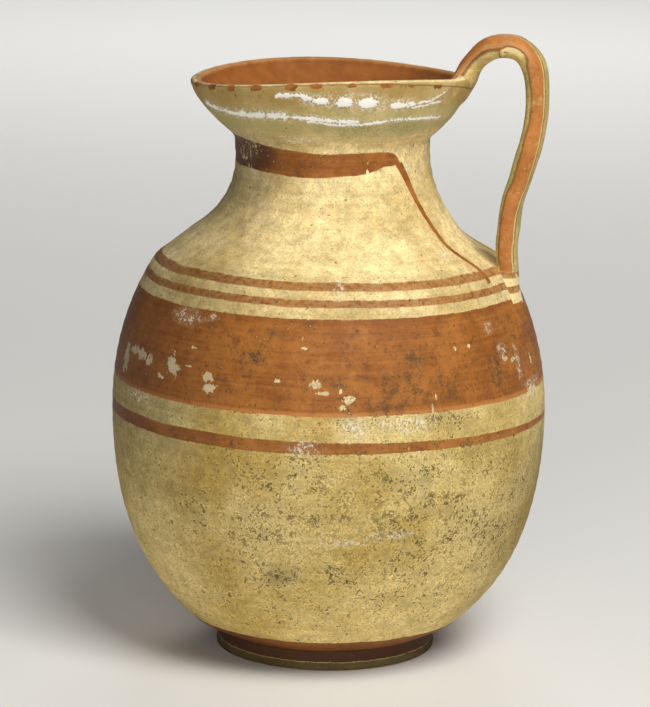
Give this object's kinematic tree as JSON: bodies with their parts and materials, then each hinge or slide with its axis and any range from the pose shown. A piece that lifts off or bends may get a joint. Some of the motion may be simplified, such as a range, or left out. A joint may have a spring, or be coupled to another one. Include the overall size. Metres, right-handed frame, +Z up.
{
  "type": "pouring jug",
  "caption": "Wheel-thrown pouring jug of fired clay with a round belly, narrow neck, flaring cup rim, low disc foot and a high strap handle, painted with red-brown bands.",
  "frame": {"origin": "on the vessel's turning axis, at the flat underside of the foot", "axes": "+Z up along the turning axis; +X towards the handle, which lies in the XZ plane"},
  "size_m": [0.1958, 0.1956, 0.282],
  "materials": {
    "fired_clay": "matt cream slip with worn red-brown painted bands, dark mineral specks and patches of white lime"
  },
  "bodies": {
    "root": {"jug": "fired_clay"}
  },
  "joints": []
}
